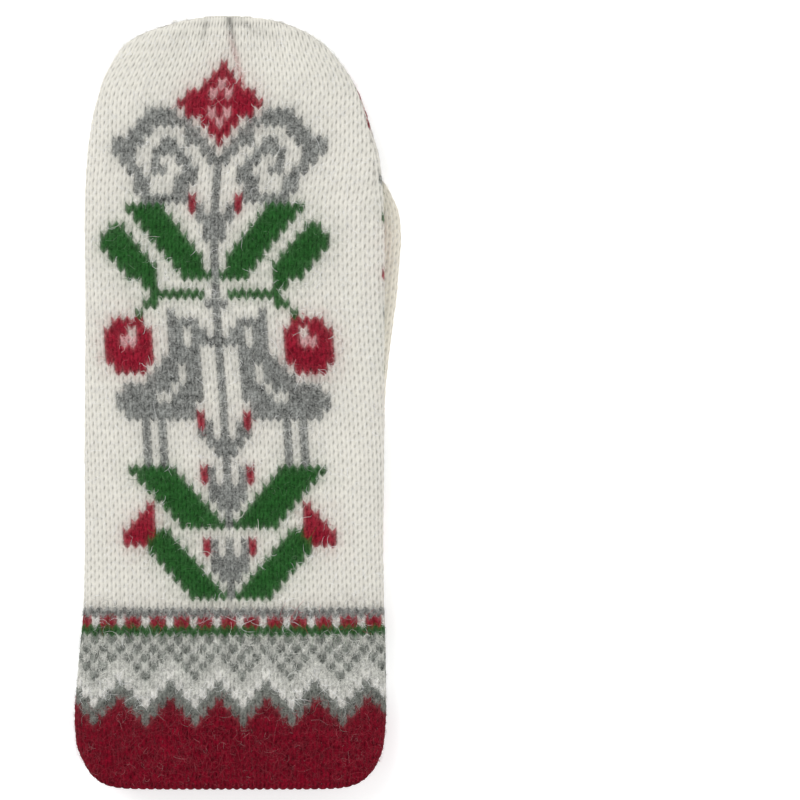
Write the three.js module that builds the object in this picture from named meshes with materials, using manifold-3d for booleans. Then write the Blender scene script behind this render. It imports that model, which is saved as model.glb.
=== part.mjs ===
// A knitted wool mitten for the left hand, lying palm down with its thumb folded flat under the palm.
// Millimetres: +X towards the thumb's side, +Y towards the fingertips, +Z up, z = 0 is the surface.
// The origin is under the middle of the mitten's box.

import * as THREE from 'three';
import { mergeVertices } from 'three/addons/utils/BufferGeometryUtils.js';
import Module from 'manifold-3d';

const wasm = await Module();
wasm.setup();

// Driving dimensions.
const TIP_Y = 135.35;
const RIM_Y = -135.35;
const CUFF_TOP_Y = -72.1;
const THUMB_TIP_Y = 80.85;
const THUMB_BASE_Y = -4.9;
const GAP = 0.3;
const HAND_WALL = 3;
const CUFF_WALL = 3.2;
const THUMB_WALL = 2.4;

// The cross-section is a pillow: rounded at both folds, flatter on top, and flat where it rests.
const FOLD_EXPONENT = 2.7;
const UNDERSIDE_SAG = 1.12;

// The palm and the back lift a little where the thumb lies under them.
const LIFT = { rise: 6.0, squeeze: 0.24, xStart: -4, xEnd: 25, yStart: -5, yFull: 24, yFade: 72, yEnd: 104 };

// The cuff's rim rises towards both folds, so that its corners are round.
const RIM_CORNER_RISE = 9;
const RIM_CORNER_EXPONENT = 12.5;
const RIM_CORNER_REACH = 4;

// The cast-on edge is a low ridge round the rim.
const RIDGE = { height: 0.7, width: 2.6, fromRim: 3.6 };

// Outlines, by the distance back from the tip: the fold on each side, and the height.
const HAND_PROFILE = [
  { drop: 0, left: -3.9, right: -3.9, height: 0 },
  { drop: 0.35, left: -10.2, right: 2.8, height: 4.2 },
  { drop: 1.4, left: -16.8, right: 9.8, height: 7.6 },
  { drop: 2.8, left: -21.7, right: 15.0, height: 9.8 },
  { drop: 4.2, left: -26.2, right: 18.9, height: 11.3 },
  { drop: 5.6, left: -30.4, right: 22.1, height: 12.4 },
  { drop: 8.4, left: -36.3, right: 27.0, height: 14.0 },
  { drop: 11.2, left: -39.9, right: 30.4, height: 15.0 },
  { drop: 15.4, left: -43.0, right: 34.3, height: 16.0 },
  { drop: 23.1, left: -46.9, right: 39.5, height: 17.2 },
  { drop: 30.1, left: -49.0, right: 43.0, height: 18.0 },
  { drop: 37.1, left: -50.7, right: 45.3, height: 18.6 },
  { drop: 51.1, left: -52.5, right: 49.2, height: 19.4 },
  { drop: 72.1, left: -53.3, right: 50.8, height: 20.0 },
  { drop: 100, left: -53.0, right: 50.9, height: 20.0 },
  { drop: 156, left: -53.3, right: 50.8, height: 20.0 },
  { drop: 184, left: -53.2, right: 50.5, height: 19.6 },
  { drop: 207.5, left: -53.6, right: 50.8, height: 19.2 },
];

const CUFF_PROFILE = [
  { drop: 0, left: -53.6, right: 50.8, height: 19.2 },
  { drop: 7, left: -54.1, right: 51.1, height: 19.2 },
  { drop: 22, left: -55.6, right: 51.4, height: 19.6 },
  { drop: 38, left: -56.7, right: 51.5, height: 20.0 },
  { drop: 45, left: -56.6, right: 51.2, height: 20.2 },
  { drop: 54, left: -55.7, right: 50.4, height: 20.4 },
  { drop: 63.3, left: -53.0, right: 48.3, height: 20.2 },
];

const THUMB_PROFILE = [
  { drop: 0, left: 41.3, right: 41.3, height: 0 },
  { drop: 0.4, left: 38.2, right: 44.2, height: 3.2 },
  { drop: 1.4, left: 35.4, right: 46.9, height: 5.8 },
  { drop: 4.2, left: 31.1, right: 50.8, height: 8.2 },
  { drop: 8.8, left: 26.9, right: 53.4, height: 9.7 },
  { drop: 14, left: 23.8, right: 55.7, height: 10.3 },
  { drop: 22.8, left: 20.6, right: 56.7, height: 10.6 },
  { drop: 31.5, left: 18.6, right: 56.2, height: 10.6 },
  { drop: 45.5, left: 16.1, right: 55.0, height: 10.6 },
  { drop: 59.5, left: 14.4, right: 53.2, height: 10.6 },
  { drop: 75, left: 13.0, right: 51.5, height: 10.6 },
  { drop: 90, left: 12.6, right: 50.6, height: 10.6 },
];

// Gathers that run back from the fingertip, on the back and on the palm.
const GATHERS = [
  { x0: -3.2, y0: 134, x1: 0.2, y1: 116, depth: 1.5, width: 2.4 },
  { x0: -11.5, y0: 133, x1: -11.5, y1: 123, depth: 1.0, width: 2.8 },
  { x0: 1.5, y0: 133, x1: 7.5, y1: 126, depth: 1.1, width: 2.6 },
];

const GATHER_FADE = 0.8;

// The hole in the palm's wall through which the thumb is reached: its sides, how far it reaches
// before and behind the thumb's root, and its height above the floor of the hollow.
const THUMB_HOLE = { left: 17.5, right: 45.5, reach: 3, low: 0.1, high: 5.2 };

// How finely the shapes are faceted: sections along each, and steps along half a section.
const HAND_FACETS = { sections: 23, steps: 27 };
const HAND_HOLLOW_FACETS = { sections: 19, steps: 22 };
const THUMB_FACETS = { sections: 12, steps: 14 };
const THUMB_ROOM_FACETS = { sections: 11, steps: 14 };
const THUMB_HOLLOW_FACETS = { sections: 10, steps: 12 };
const CUFF_STEPS = 27;
const CUFF_OUTER_PLACES = [1, 0.975, 0.94, 0.9, 0.8, 0.65, 0.45, 0.22, 0];
const CUFF_INNER_PLACES = [0, 0.3, 0.6, 0.85, 1];

// Small lengths: how far a cut runs past an open end, where a tip's last point lies above the
// surface, and how near points are when they count as one.
const OVERRUN = 5;
const TIP_POINT_Z = 0.01;
const WELD_DISTANCE = 1e-4;

const COLOURS = { hand: 0xe3e1d7, cuff: 0x8c142d, thumb: 0xe8e4d4 };
const WOOL_ROUGHNESS = 0.95;

function smooth(low, high, value) {
  const t = Math.min(1, Math.max(0, (value - low) / (high - low)));
  return t * t * (3 - 2 * t);
}

// A table's row at a distance from the tip, by a smooth curve over the distance's square root,
// which is what rounds the ends.
function profileAt(table, drop) {
  const last = table.length - 1;
  const clamped = Math.min(Math.max(drop, 0), table[last].drop);
  let row = 1;
  while (row < last && table[row].drop < clamped) row += 1;
  const place = (index) => Math.sqrt(table[index].drop);
  const span = place(row) - place(row - 1);
  const t = (Math.sqrt(clamped) - place(row - 1)) / span;
  const curve = (key) => {
    const slope = (index) => {
      const low = Math.max(0, index - 1);
      const high = Math.min(last, index + 1);
      return (table[high][key] - table[low][key]) / (place(high) - place(low));
    };
    const start = table[row - 1][key];
    const end = table[row][key];
    const ease = t * t * (3 - 2 * t);
    const leave = t * (1 - t) ** 2 * span * slope(row - 1);
    const arrive = t * t * (t - 1) * span * slope(row);
    return start + (end - start) * ease + leave + arrive;
  };
  return { left: curve('left'), right: curve('right'), height: curve('height') };
}

function liftAt(x, y) {
  const across = smooth(LIFT.xStart, LIFT.xEnd, x);
  const along = smooth(LIFT.yStart, LIFT.yFull, y) * (1 - smooth(LIFT.yFade, LIFT.yEnd, y));
  return across * along;
}

function gatherAt(x, y) {
  let depth = 0;
  for (const fold of GATHERS) {
    const dx = fold.x1 - fold.x0;
    const dy = fold.y1 - fold.y0;
    const along = ((x - fold.x0) * dx + (y - fold.y0) * dy) / (dx * dx + dy * dy);
    const t = Math.min(1, Math.max(0, along));
    const away = Math.hypot(x - fold.x0 - t * dx, y - fold.y0 - t * dy);
    depth += fold.depth * (1 - GATHER_FADE * t) * Math.exp(-((away / fold.width) ** 2));
  }
  return depth;
}

// One half of a section, from the left fold to the right one, over the top or along the underside.
// Its points crowd where it bends. spec holds the folds, the middle height, the half height above
// and below it, the floor, and whether the thumb lifts it.
function halfSection(spec, y, side, steps) {
  const fine = 160;
  const bendWeight = 14;
  const centre = (spec.left + spec.right) / 2;
  const halfWidth = (spec.right - spec.left) / 2;
  const points = [];
  for (let i = 0; i <= fine; i += 1) {
    const angle = Math.PI * (1 - i / fine);
    const cos = Math.cos(angle);
    const sin = Math.max(0, Math.sin(angle));
    const x = centre + halfWidth * Math.sign(cos) * Math.abs(cos) ** (2 / FOLD_EXPONENT);
    const lift = spec.lifted ? liftAt(x, y) : 0;
    const half = (side > 0 ? spec.above : spec.below) - LIFT.squeeze * spec.middle * lift;
    const gather = spec.gathered ? gatherAt(x, y) * sin : 0;
    const rise = side * (half * sin ** (2 / FOLD_EXPONENT) - gather);
    points.push([x, Math.max(spec.floor, spec.middle + LIFT.rise * lift + rise)]);
  }
  const travelled = [0];
  for (let i = 1; i <= fine; i += 1) {
    const [x0, z0] = points[i - 1];
    const [x1, z1] = points[i];
    const [xNext, zNext] = points[Math.min(fine, i + 1)];
    const turn = Math.atan2(z1 - z0, x1 - x0) - Math.atan2(zNext - z1, xNext - x1);
    const bend = i < fine ? Math.abs(Math.atan2(Math.sin(turn), Math.cos(turn))) : 0;
    travelled.push(travelled[i - 1] + Math.hypot(x1 - x0, z1 - z0) + bendWeight * bend);
  }
  const picked = [];
  let at = 1;
  for (let k = 0; k <= steps; k += 1) {
    const target = (travelled[fine] * k) / steps;
    while (at < fine && travelled[at] < target) at += 1;
    const t = (target - travelled[at - 1]) / (travelled[at] - travelled[at - 1]);
    const [x0, z0] = points[at - 1];
    const [x1, z1] = points[at];
    picked.push([x0 + (x1 - x0) * t, z0 + (z1 - z0) * t]);
  }
  return picked;
}

// A whole section as a ring: over the top from left to right, then back along the underside.
function ringAt(spec, y, steps) {
  const top = halfSection(spec, y, 1, steps);
  const under = halfSection(spec, y, -1, steps).reverse();
  return [...top, ...under.slice(1, -1)].map(([x, z]) => [x, y, z]);
}

// A section of a shape that ends in a round tip. A positive inset is a wall's inner face, a negative
// one is the shape grown by that much.
function tippedSpec(table, tipY, y, inset, options) {
  const moved = profileAt(table, tipY - inset - y);
  const outer = profileAt(table, inset > 0 ? tipY - y : tipY - inset - y);
  const inside = Math.min(outer.height - 2 * inset, inset > 0 ? moved.height : Infinity);
  const half = inside / 2;
  const middle = outer.height / 2;
  return {
    left: moved.left + inset,
    right: moved.right - inset,
    middle,
    above: half,
    below: half + (UNDERSIDE_SAG - 1) * middle,
    floor: inset,
    ...options,
  };
}

// Distances back from a tip: close together at the round end, wide along the straight part.
function tipDistances(length, count) {
  return Array.from({ length: count }, (_, i) => length * ((i + 1) / count) ** 2);
}

function geometryOf(rings, pole) {
  const size = rings[0].length;
  const vertices = rings.flat();
  const indices = [];
  for (let i = 0; i + 1 < rings.length; i += 1) {
    for (let j = 0; j < size; j += 1) {
      const a = i * size + j;
      const b = i * size + ((j + 1) % size);
      indices.push(a, b, b + size, a, b + size, a + size);
    }
  }
  if (pole) {
    const lastRing = (rings.length - 1) * size;
    const poleIndex = vertices.push(pole) - 1;
    const middle = rings[0].reduce((sum, p) => [sum[0] + p[0] / size, sum[1] + p[2] / size], [0, 0]);
    const baseIndex = vertices.push([middle[0], rings[0][0][1], middle[1]]) - 1;
    for (let j = 0; j < size; j += 1) {
      const next = (j + 1) % size;
      indices.push(lastRing + j, lastRing + next, poleIndex);
      indices.push(baseIndex, next, j);
    }
  }
  const geometry = new THREE.BufferGeometry();
  geometry.setAttribute('position', new THREE.Float32BufferAttribute(vertices.flat(), 3));
  geometry.setIndex(indices);
  return geometry;
}

// A solid from a flat open end at baseY to a round tip.
function tippedSolid({ table, tipY, baseY, inset, facets, options }) {
  const top = tipY - inset;
  const ys = tipDistances(top - baseY, facets.sections).map((distance) => top - distance).reverse();
  const rings = ys.map((y) => ringAt(tippedSpec(table, tipY, y, inset, options), y, facets.steps));
  const outerMiddle = profileAt(table, inset).height / 2;
  return geometryOf(rings, [table[0].left, top, inset > 0 ? outerMiddle : TIP_POINT_Z]);
}

function solidOf(geometry) {
  const bare = geometry.clone();
  for (const name of Object.keys(bare.attributes)) {
    if (name !== 'position') bare.deleteAttribute(name);
  }
  const merged = mergeVertices(bare, WELD_DISTANCE);
  return new wasm.Manifold(new wasm.Mesh({
    numProp: 3,
    vertProperties: new Float32Array(merged.attributes.position.array),
    triVerts: new Uint32Array(merged.index.array),
  }));
}

function geometryFrom(solid) {
  const mesh = solid.getMesh();
  const geometry = new THREE.BufferGeometry();
  geometry.setAttribute('position', new THREE.Float32BufferAttribute(mesh.vertProperties, 3));
  geometry.setIndex(Array.from(mesh.triVerts));
  return geometry;
}

function block(low, high) {
  const size = high.map((value, axis) => value - low[axis]);
  const centre = high.map((value, axis) => (value + low[axis]) / 2);
  return solidOf(new THREE.BoxGeometry(...size).translate(...centre));
}

function thumbShape(inset, baseY, facets) {
  return solidOf(tippedSolid({
    table: THUMB_PROFILE, tipY: THUMB_TIP_Y, baseY, inset, facets, options: {},
  }));
}

function handShape(inset, baseY, facets) {
  const options = { lifted: true, gathered: true };
  return solidOf(tippedSolid({
    table: HAND_PROFILE, tipY: TIP_Y, baseY, inset, facets, options,
  }));
}

// The hand: a hollow pillow whose palm wall passes over the thumb, open at the cuff, with the hole
// through which the thumb is reached.
function makeHand() {
  const wallFromThumb = GAP + HAND_WALL;
  const thumbRoom = thumbShape(-GAP, THUMB_BASE_Y - GAP, THUMB_ROOM_FACETS);
  const thumbWall = thumbShape(-wallFromThumb, THUMB_BASE_Y - wallFromThumb, THUMB_ROOM_FACETS);
  const outer = handShape(0, CUFF_TOP_Y + GAP, HAND_FACETS).subtract(thumbRoom);
  const inner = handShape(HAND_WALL, CUFF_TOP_Y - OVERRUN, HAND_HOLLOW_FACETS).subtract(thumbWall);
  const hole = THUMB_HOLE;
  const holeLow = [hole.left, THUMB_BASE_Y - wallFromThumb - hole.reach, HAND_WALL + hole.low];
  const holeHigh = [hole.right, THUMB_BASE_Y + hole.reach, HAND_WALL + hole.high];
  return outer.subtract(inner).subtract(block(holeLow, holeHigh));
}

// The thumb: a flattened tube, closed at its tip and open at its root.
function makeThumb() {
  const outer = thumbShape(0, THUMB_BASE_Y, THUMB_FACETS);
  const inner = thumbShape(THUMB_WALL, THUMB_BASE_Y - OVERRUN, THUMB_HOLLOW_FACETS);
  return outer.subtract(inner);
}

function cuffRing(t, inset) {
  const length = CUFF_TOP_Y - RIM_Y;
  const row = profileAt(CUFF_PROFILE, length * t);
  const fromRim = length * (1 - t);
  const swell = inset > 0 ? 0 : RIDGE.height * Math.exp(-(((fromRim - RIDGE.fromRim) / RIDGE.width) ** 2));
  const half = row.height / 2 - inset;
  const spec = {
    left: row.left + inset,
    right: row.right - inset,
    middle: row.height / 2,
    above: half + swell,
    below: half + (UNDERSIDE_SAG - 1) * (row.height / 2),
    floor: inset,
  };
  const centre = (row.left + row.right) / 2;
  const halfWidth = (row.right - row.left) / 2;
  return ringAt(spec, CUFF_TOP_Y - length * t, CUFF_STEPS).map(([x, y, z]) => {
    const out = Math.min(1, Math.abs(x - centre) / halfWidth);
    const rise = RIM_CORNER_RISE * out ** RIM_CORNER_EXPONENT * t ** RIM_CORNER_REACH;
    return [x, y + rise, z];
  });
}

// The cuff: a straight tube, open at both ends, with a rounded rim.
function makeCuff() {
  const outer = CUFF_OUTER_PLACES.map((t) => cuffRing(t, 0));
  const inner = CUFF_INNER_PLACES.map((t) => cuffRing(t, CUFF_WALL));
  const wall = [...outer, ...inner, outer[0]];
  return solidOf(geometryOf(wall, null));
}

function woolMesh(name, solid, colour) {
  const material = new THREE.MeshStandardMaterial({
    color: colour, roughness: WOOL_ROUGHNESS, metalness: 0, flatShading: true,
  });
  const mesh = new THREE.Mesh(geometryFrom(solid), material);
  mesh.name = name;
  return mesh;
}

const mitten = new THREE.Group();
mitten.add(woolMesh('hand', makeHand(), COLOURS.hand));
mitten.add(woolMesh('cuff', makeCuff(), COLOURS.cuff));
mitten.add(woolMesh('thumb', makeThumb(), COLOURS.thumb));

export default mitten;
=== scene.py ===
import bpy
import numpy as np
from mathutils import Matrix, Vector


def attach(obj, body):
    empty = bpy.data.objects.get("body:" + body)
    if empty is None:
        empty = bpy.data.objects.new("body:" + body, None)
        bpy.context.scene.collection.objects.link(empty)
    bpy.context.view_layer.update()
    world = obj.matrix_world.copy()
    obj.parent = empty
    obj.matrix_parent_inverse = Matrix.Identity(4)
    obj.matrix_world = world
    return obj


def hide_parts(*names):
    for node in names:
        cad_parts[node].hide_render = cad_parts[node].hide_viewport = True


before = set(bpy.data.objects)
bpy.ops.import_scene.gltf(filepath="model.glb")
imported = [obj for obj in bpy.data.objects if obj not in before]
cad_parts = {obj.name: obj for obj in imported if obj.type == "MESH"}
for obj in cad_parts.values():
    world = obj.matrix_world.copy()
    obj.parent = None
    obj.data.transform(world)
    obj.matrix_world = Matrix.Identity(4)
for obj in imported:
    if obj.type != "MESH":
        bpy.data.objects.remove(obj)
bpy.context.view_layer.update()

# A knitted wool mitten, in millimetres here and in metres once it is a mesh.
MM = 0.001
TIP_Y = 135.35
RIM_Y = -135.35
CUFF_TOP_Y = -72.1
THUMB_TIP_Y = 80.85
THUMB_BASE_Y = -4.9
WALL = 3.0
GAP = 0.3
FOLD_EXPONENT = 2.7
UNDERSIDE_SAG = 1.12
LIFT = dict(rise=6.0, squeeze=0.24, x_start=-4, x_end=25, y_start=-5, y_full=24, y_fade=72, y_end=104)
RIM_CORNER = dict(rise=9, exponent=12.5, reach=4)
RIDGE = dict(height=0.7, width=2.6, from_rim=3.6)

# Columns: distance back from the tip, left fold, right fold, height.
HAND_PROFILE = np.array([
    [0, -3.9, -3.9, 0], [0.35, -10.2, 2.8, 4.2], [1.4, -16.8, 9.8, 7.6], [2.8, -21.7, 15.0, 9.8],
    [4.2, -26.2, 18.9, 11.3], [5.6, -30.4, 22.1, 12.4], [8.4, -36.3, 27.0, 14.0],
    [11.2, -39.9, 30.4, 15.0], [15.4, -43.0, 34.3, 16.0], [23.1, -46.9, 39.5, 17.2],
    [30.1, -49.0, 43.0, 18.0], [37.1, -50.7, 45.3, 18.6], [51.1, -52.5, 49.2, 19.4],
    [72.1, -53.3, 50.8, 20.0], [100, -53.0, 50.9, 20.0], [156, -53.3, 50.8, 20.0],
    [184, -53.2, 50.5, 19.6], [207.5, -53.6, 50.8, 19.2],
])
CUFF_PROFILE = np.array([
    [0, -53.6, 50.8, 19.2], [7, -54.1, 51.1, 19.2], [22, -55.6, 51.4, 19.6], [38, -56.7, 51.5, 20.0],
    [45, -56.6, 51.2, 20.2], [54, -55.7, 50.4, 20.4], [63.3, -53.0, 48.3, 20.2],
])
THUMB_PROFILE = np.array([
    [0, 41.3, 41.3, 0], [0.4, 38.2, 44.2, 3.2], [1.4, 35.4, 46.9, 5.8], [4.2, 31.1, 50.8, 8.2],
    [8.8, 26.9, 53.4, 9.7], [14, 23.8, 55.7, 10.3], [22.8, 20.6, 56.7, 10.6], [31.5, 18.6, 56.2, 10.6],
    [45.5, 16.1, 55.0, 10.6], [59.5, 14.4, 53.2, 10.6], [75, 13.0, 51.5, 10.6], [90, 12.6, 50.6, 10.6],
])

# Gathers at the fingertip: start, end, depth, width.
GATHERS = [
    dict(x0=-3.2, y0=134, x1=0.2, y1=116, depth=1.5, width=2.4),
    dict(x0=-11.5, y0=133, x1=-11.5, y1=123, depth=1.0, width=2.8),
    dict(x0=1.5, y0=133, x1=7.5, y1=126, depth=1.1, width=2.6),
]

# Painted shadow along the fine dark lines at the bottom of the gathers, and of two finer ones.
CREASE_SHADOWS = [
    dict(x0=-3.2, y0=134, x1=-0.7, y1=122.5, depth=1.1, width=0.8),
    dict(x0=-11.2, y0=132, x1=-12.6, y1=124, depth=0.7, width=0.9),
    dict(x0=2.8, y0=132, x1=8.4, y1=127, depth=0.9, width=0.7),
    dict(x0=7.0, y0=130.5, x1=14.7, y1=126.5, depth=0.5, width=0.8),
    dict(x0=-19, y0=129, x1=-25, y1=123, depth=0.3, width=1.4),
]

# The red strand that shows through the longest gather.
RED_CREASE = [dict(x0=2.6, y0=108, x1=-2.8, y1=128.5, depth=1.0, width=1.1)]

# The middle column's line over the back: y and x.
AXIS = np.array([
    [-135.4, 0.0], [-104.7, -0.6], [-63.4, -2.1], [-37.5, -2.8], [-20.7, -3.5], [1.8, -4.9],
    [19.6, -6.3], [35.4, -7.2], [52.9, -7.9], [70.7, -7.5], [87.9, -6.1], [102.6, -6.1],
    [117.3, -4.6], [127, -3.9], [135.4, -3.9],
])

# The last rows run over the blunt end: way along the surface from the tip, and drop below it.
TIP_ARC = np.array([
    [0, 0], [1.1, 0.1], [2.13, 0.35], [3.1, 0.8], [4.05, 1.4], [5.64, 2.8], [7.0, 4.2], [8.35, 5.6],
    [10.9, 8.4], [13.3, 10.9], [15.4, 13.03],
])

# How far round the thumb the palm slopes down to its sides, and how far along it is looked for.
RAMP = 3.0
RAMP_SEARCH = 8

# Knitting: columns round the mitten, the last one of the back's pattern, rows in each part, and the
# chart's row where the hand starts.
COLUMNS = 78
PATTERN_EDGE = 20
HAND_ROWS = 64
TIP_ROWS = 4
CUFF_ROWS = 20.3
ROW_ZERO = int(np.ceil(CUFF_ROWS))
THUMB_COLUMNS = 26
THUMB_ROWS = 28

# A row of the cuff, and the least width of a column for each unit of spread, and of one of the thumb's.
CUFF_ROW = 3.115
STITCH_PITCH = 0.35
THUMB_PITCH = 2.5

# Spread of the hand's rows: a pitch that grows up to one row, and an even one from there.
HAND_SPREAD = dict(pitch=8.7, growth=0.0105, even_from=40, even_start=364.8, even_pitch=9.54)

# Spread of the columns from the middle one.
COLUMN_SPREAD = dict(pitch=7.7, growth=0.0015)

# The grid: steps for each stitch, the finer rows that it is laid out on, and how deep its Vs are.
PER_COLUMN = 6
HALF_COLUMN = PER_COLUMN // 2
PER_ROW = 3
FINE_STEP = 1 / 12
V_DEPTH = 0.48

# A stitch: its height between the legs and at its ends, how much stitches vary, its pits, and the painted
# shade in its pits and between its legs.
STITCH = dict(between=0.35, ends=0.7, vary=0.12, pit=1.1, small_pit=0.8, full_width=2.2, valley_shade=0.22)
HAND_RELIEF = 0.42
THUMB_RELIEF = 0.38

# How far fibres reach, in stitches: felted edges, the lining's soft edges, and the haze round a motif.
EDGE_REACH = 0.24
LINING_REACH = 0.5
HAZE_REACH = 1.4

# The inside: an even painted shade, a painted glow in place of the light that comes through the knit, and
# how much its strands stand out.
LINING_SHADE = 0.2
LINING_GLOW = 0.12
LINING_BUMP = 0.15

# The cuff's lining: its first row, and the rows from which the glow starts and is full.
LINING_FIRST = -19
LINING_LIT = -8

# The rim's rounded lip: how far it stands out, its bead at each column, and its steps.
LIP_REACH = 1.45
LIP_BEAD = 0.25
LIP_STEPS = 8

# The palm's last stitches before the thumb's root: how far from it, between which sides, and how high.
ROOT_REACH = 1.6
ROOT_SIDES = (12, 51)
ROOT_TOP = 3

# Above this height a point of the tip is on its back.
BACK_ABOVE = 4

# The hole for the thumb: its sides, how near to its line and between which heights faces are cut, and how
# tall a face is that is cut at any height.
HOLE_SIDES = (17.5, 45.5)
OUTER_HOLE = dict(near=1.2, low=3.1, high=8.2, upright=1.5)
LINING_HOLE = dict(near=2.0, low=3.3, high=9.5, upright=np.inf)

# The thumb's lining: how many rows it ends short of the tip, and its steps.
TUBE_SHORT = 1.9
TUBE_STEPS = 28

# Fibres: steps of a ribbon, greatest lengths on the back, on slopes, beneath and on edges, the width of
# the strips that the outline is looked up in, and how far they stand off the knit.
FIBRE_STEPS = 5
FIBRE_LENGTHS = (9.0, 2.5, 2.0, 1.0)
FIBRE_BIN = 3
FIBRE_LIFT = 0.3

# How long, curled, high and wide a fibre is, and how light it and the pale ones are.
FIBRE_LOWEST = 0.08
FIBRE_SHORTEST = 0.8
FIBRE_SHAPE = 2.2
FIBRE_TURN = 1.3
FIBRE_SWAY = 0.9
FIBRE_RISE = (0.15, 0.6)
FIBRE_HALF_WIDTH = (0.028, 0.06)
FIBRE_LIGHTEST = 0.86
PALE_WOOL = np.array([0.75, 0.72, 0.68])

# A length too small to divide by.
TINY = 1e-9


def smooth(low, high, value):
    t = np.clip((value - low) / (high - low), 0, 1)
    return t * t * (3 - 2 * t)


def profile(table, drop):
    """Left fold, right fold and height at a distance back from the tip."""
    places = np.sqrt(table[:, 0])
    values = table[:, 1:]
    slopes = np.gradient(values, axis=0)
    slopes[1:-1] = (values[2:] - values[:-2]) / (places[2:] - places[:-2])[:, None]
    slopes[0] = (values[1] - values[0]) / (places[1] - places[0])
    slopes[-1] = (values[-1] - values[-2]) / (places[-1] - places[-2])
    at = np.sqrt(np.clip(drop, 0, table[-1, 0]))
    row = int(np.clip(np.searchsorted(places, at, side="right") - 1, 0, len(places) - 2))
    span = places[row + 1] - places[row]
    t = (at - places[row]) / span
    ease = t * t * (3 - 2 * t)
    leave = t * (1 - t) ** 2 * span * slopes[row]
    arrive = t * t * (t - 1) * span * slopes[row + 1]
    return values[row] + (values[row + 1] - values[row]) * ease + leave + arrive


def lift_at(x, y):
    along = smooth(LIFT["y_start"], LIFT["y_full"], y) * (1 - smooth(LIFT["y_fade"], LIFT["y_end"], y))
    return smooth(LIFT["x_start"], LIFT["x_end"], x) * along


def gather_at(x, y, folds=GATHERS):
    depth = np.zeros_like(x)
    for fold in folds:
        dx, dy = fold["x1"] - fold["x0"], fold["y1"] - fold["y0"]
        t = np.clip(((x - fold["x0"]) * dx + (y - fold["y0"]) * dy) / (dx * dx + dy * dy), 0, 1)
        away = np.hypot(x - fold["x0"] - t * dx, y - fold["y0"] - t * dy)
        depth += fold["depth"] * (1 - 0.8 * t) * np.exp(-((away / fold["width"]) ** 2))
    return depth


def over_thumb(x, y, grow):
    """The height that the palm keeps to where the thumb lies under it; grow is how far off it stays."""
    if y < THUMB_BASE_Y - grow or y > THUMB_TIP_Y + RAMP_SEARCH:
        return np.zeros_like(x)
    first, last = max(THUMB_BASE_Y - grow, y - RAMP_SEARCH), min(THUMB_TIP_Y, y + RAMP_SEARCH)
    rows = np.linspace(first, last, 2 * RAMP_SEARCH + 1)
    nearest = np.full_like(x, 1e9)
    middle = np.zeros_like(x)
    for row in [y, *rows]:
        if row > THUMB_TIP_Y:
            continue
        left, right, height = profile(THUMB_PROFILE, THUMB_TIP_Y - row)
        aside = np.maximum(0, np.maximum(left - x, x - right))
        away = np.hypot(y - row, aside)
        closer = away < nearest - TINY
        nearest = np.where(closer, away, nearest)
        middle = np.where(closer, height / 2, middle)
    left, right, height = profile(THUMB_PROFILE, max(0, THUMB_TIP_Y - y))
    centre, half = (left + right) / 2, max(0.01, (right - left) / 2)
    t = np.clip(np.abs(x - centre) / half, 0, 1)
    dome = height / 2 + (height / 2 + grow) * (1 - t ** FOLD_EXPONENT) ** (1 / FOLD_EXPONENT)
    outside = middle * (1 - smooth(0, RAMP + grow, nearest))
    return np.where(nearest < 1e-6, dome, outside)


ANGLES = np.linspace(np.pi, 0, 241)
ROUND_X = np.sign(np.cos(ANGLES)) * np.abs(np.cos(ANGLES)) ** (2 / FOLD_EXPONENT)
ROUND_Z = np.clip(np.sin(ANGLES), 0, 1) ** (2 / FOLD_EXPONENT)


def mitten_section(y, inset):
    """The top line and the underside line of the hand or cuff at y, each from left to right."""
    swell, rim = 0.0, np.zeros_like(ROUND_X)
    if y >= CUFF_TOP_Y:
        moved = profile(HAND_PROFILE, TIP_Y - inset - y)
        outer = profile(HAND_PROFILE, TIP_Y - y)
        half = max(0, min(outer[2] - 2 * inset, moved[2] if inset else np.inf)) / 2
        left, right, middle = moved[0] + inset, moved[1] - inset, outer[2] / 2
        left, right = min(left, (left + right) / 2), max(right, (left + right) / 2)
    else:
        length = CUFF_TOP_Y - RIM_Y
        t = (CUFF_TOP_Y - y) / length
        row = profile(CUFF_PROFILE, CUFF_TOP_Y - y)
        left, right, middle = row[0] + inset, row[1] - inset, row[2] / 2
        half = middle - inset
        from_rim = length * (1 - t)
        swell = RIDGE["height"] * np.exp(-(((from_rim - RIDGE["from_rim"]) / RIDGE["width"]) ** 2))
        swell = 0.0 if inset else swell
        rim = RIM_CORNER["rise"] * np.abs(ROUND_X) ** RIM_CORNER["exponent"] * t ** RIM_CORNER["reach"]
    x = (left + right) / 2 + (right - left) / 2 * ROUND_X
    lift = lift_at(x, y) if y >= CUFF_TOP_Y else np.zeros_like(x)
    gather = gather_at(x, y) * np.sin(ANGLES)
    above = (half + swell - LIFT["squeeze"] * middle * lift) * ROUND_Z
    below = (half + (UNDERSIDE_SAG - 1) * middle - LIFT["squeeze"] * middle * lift) * ROUND_Z
    base = middle + LIFT["rise"] * lift
    gather = gather * smooth(0.5, 4.0, middle)
    top = np.maximum(inset, base + above - gather)
    under = np.maximum(inset, base - below + gather)
    return x, y + rim, top, np.minimum(under, top)


def raised_palm(places, y, inset):
    """Lifts the underside of a row of points over the thumb."""
    x, z = places[:, 0], places[:, 2]
    x_line, _, top, _ = mitten_section(y, inset)
    ceiling = np.interp(x, x_line, top)
    return np.maximum(z, np.minimum(over_thumb(x, y, GAP + inset), ceiling - 0.2))


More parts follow.
